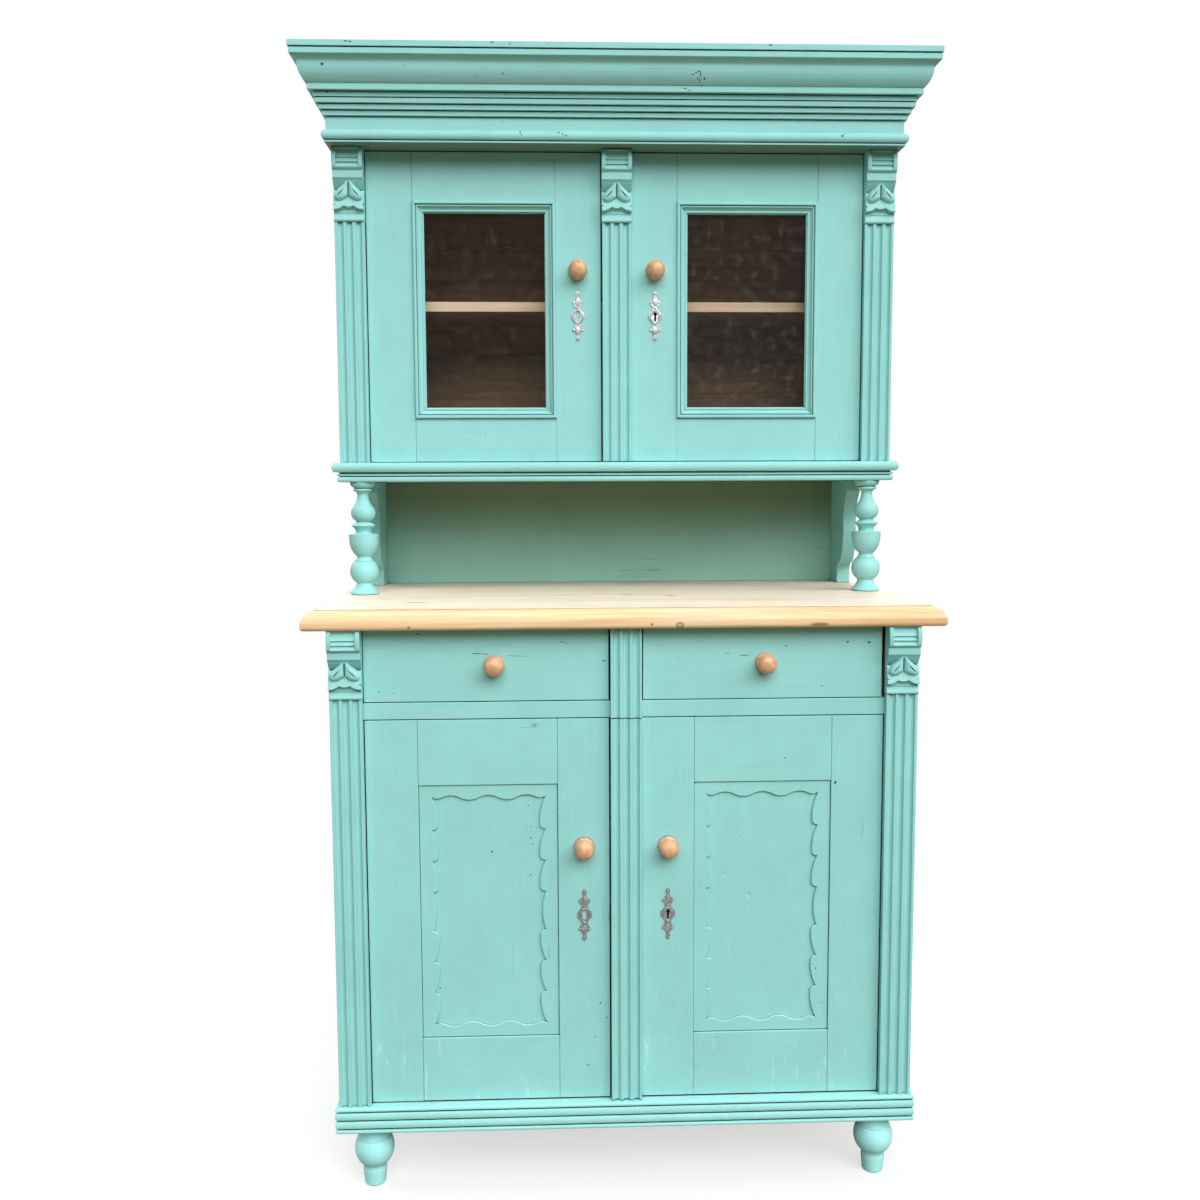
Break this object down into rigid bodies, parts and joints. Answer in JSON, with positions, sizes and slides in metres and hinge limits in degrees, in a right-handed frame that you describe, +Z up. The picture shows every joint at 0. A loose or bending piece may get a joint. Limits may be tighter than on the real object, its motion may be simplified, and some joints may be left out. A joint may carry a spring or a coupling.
{
  "type": "kitchen dresser",
  "caption": "Painted pine kitchen dresser: panelled base cupboard with drawers, plain wood worktop, open niche on turned columns and a glazed top cupboard under a deep cornice.",
  "frame": {"origin": "on the floor, midway between the sides", "axes": "+Z up, front towards -Y, +X to the right seen from the front"},
  "size_m": [1.132, 0.5641, 1.9655],
  "materials": {
    "painted_wood": "mint satin paint, brushed by hand over pine",
    "worktop_pine": "stripped and waxed pine with knots",
    "knob_wood": "turned and oiled light wood",
    "inner_pine": "bare aged pine",
    "window_glass": "clear window glass",
    "pressed_metal": "dull pressed nickel, worn",
    "ironwork": "dark drawn steel"
  },
  "bodies": {
    "dresser_carcass": {"base_sides": "painted_wood", "turned_feet": "painted_wood", "base_bottom_board": "inner_pine", "base_back_boards": "inner_pine", "base_shelf": "inner_pine", "plinth_moulding": "painted_wood", "base_pilasters": "painted_wood", "base_corbels": "painted_wood", "drawer_rail": "painted_wood", "drawer_divider": "painted_wood", "drawer_runners": "inner_pine", "worktop": "worktop_pine", "niche_back": "painted_wood", "side_brackets": "painted_wood", "turned_columns": "painted_wood", "hutch_floor": "painted_wood", "hutch_roof": "painted_wood", "hutch_sides": "painted_wood", "hutch_back_boards": "inner_pine", "cornice_dust_board": "inner_pine", "hutch_shelf": "inner_pine", "hutch_pilasters": "painted_wood", "hutch_corbels": "painted_wood", "cornice_frieze": "painted_wood", "cornice_crown": "painted_wood", "pivot_bushes": "ironwork", "magnetic_catches": "ironwork"},
    "drawer_left": {"drawer_left_front": "painted_wood", "drawer_left_box": "inner_pine", "drawer_left_knob": "knob_wood"},
    "lower_door_left": {"lower_door_left_frame": "painted_wood", "lower_door_left_panel": "painted_wood", "lower_door_left_knob": "knob_wood", "lower_door_left_escutcheon": "pressed_metal", "lower_door_left_irons": "ironwork"},
    "upper_door_left": {"upper_door_left_frame": "painted_wood", "upper_door_left_glazing": "painted_wood", "upper_door_left_glass": "window_glass", "upper_door_left_knob": "knob_wood", "upper_door_left_escutcheon": "pressed_metal", "upper_door_left_irons": "ironwork"},
    "drawer_right": {"drawer_right_front": "painted_wood", "drawer_right_box": "inner_pine", "drawer_right_knob": "knob_wood"},
    "lower_door_right": {"lower_door_right_frame": "painted_wood", "lower_door_right_panel": "painted_wood", "lower_door_right_knob": "knob_wood", "lower_door_right_escutcheon": "pressed_metal", "lower_door_right_irons": "ironwork", "lower_door_right_strip": "painted_wood"},
    "upper_door_right": {"upper_door_right_frame": "painted_wood", "upper_door_right_glazing": "painted_wood", "upper_door_right_glass": "window_glass", "upper_door_right_knob": "knob_wood", "upper_door_right_escutcheon": "pressed_metal", "upper_door_right_irons": "ironwork", "upper_door_right_strip": "painted_wood"},
    "lower_lock_bolt": {"lower_door_right_lock_bolt": "ironwork"},
    "upper_lock_bolt": {"upper_door_right_lock_bolt": "ironwork"}
  },
  "joints": [
    {"name": "drawer_left_slide", "type": "slide", "parent": "dresser_carcass", "child": "drawer_left", "axis": [0, -1, 0], "range_m": [0, 0.35]},
    {"name": "drawer_right_slide", "type": "slide", "parent": "dresser_carcass", "child": "drawer_right", "axis": [0, -1, 0], "range_m": [0, 0.35]},
    {"name": "lower_door_left_hinge", "type": "hinge", "parent": "dresser_carcass", "child": "lower_door_left", "pos_m": [-0.4235, -0.234, 0.5], "axis": [0, 0, -1], "range_deg": [0, 105]},
    {"name": "lower_door_right_hinge", "type": "hinge", "parent": "dresser_carcass", "child": "lower_door_right", "pos_m": [0.4235, -0.234, 0.5], "axis": [0, 0, 1], "range_deg": [0, 105]},
    {"name": "lower_lock_slide", "type": "slide", "parent": "lower_door_right", "child": "lower_lock_bolt", "axis": [-1, 0, 0], "range_m": [0, 0.01]},
    {"name": "upper_door_left_hinge", "type": "hinge", "parent": "dresser_carcass", "child": "upper_door_left", "pos_m": [-0.4415, 0.027, 1.5], "axis": [0, 0, -1], "range_deg": [0, 95]},
    {"name": "upper_door_right_hinge", "type": "hinge", "parent": "dresser_carcass", "child": "upper_door_right", "pos_m": [0.4415, 0.027, 1.5], "axis": [0, 0, 1], "range_deg": [0, 95]},
    {"name": "upper_lock_slide", "type": "slide", "parent": "upper_door_right", "child": "upper_lock_bolt", "axis": [-1, 0, 0], "range_m": [0, 0.01]}
  ]
}
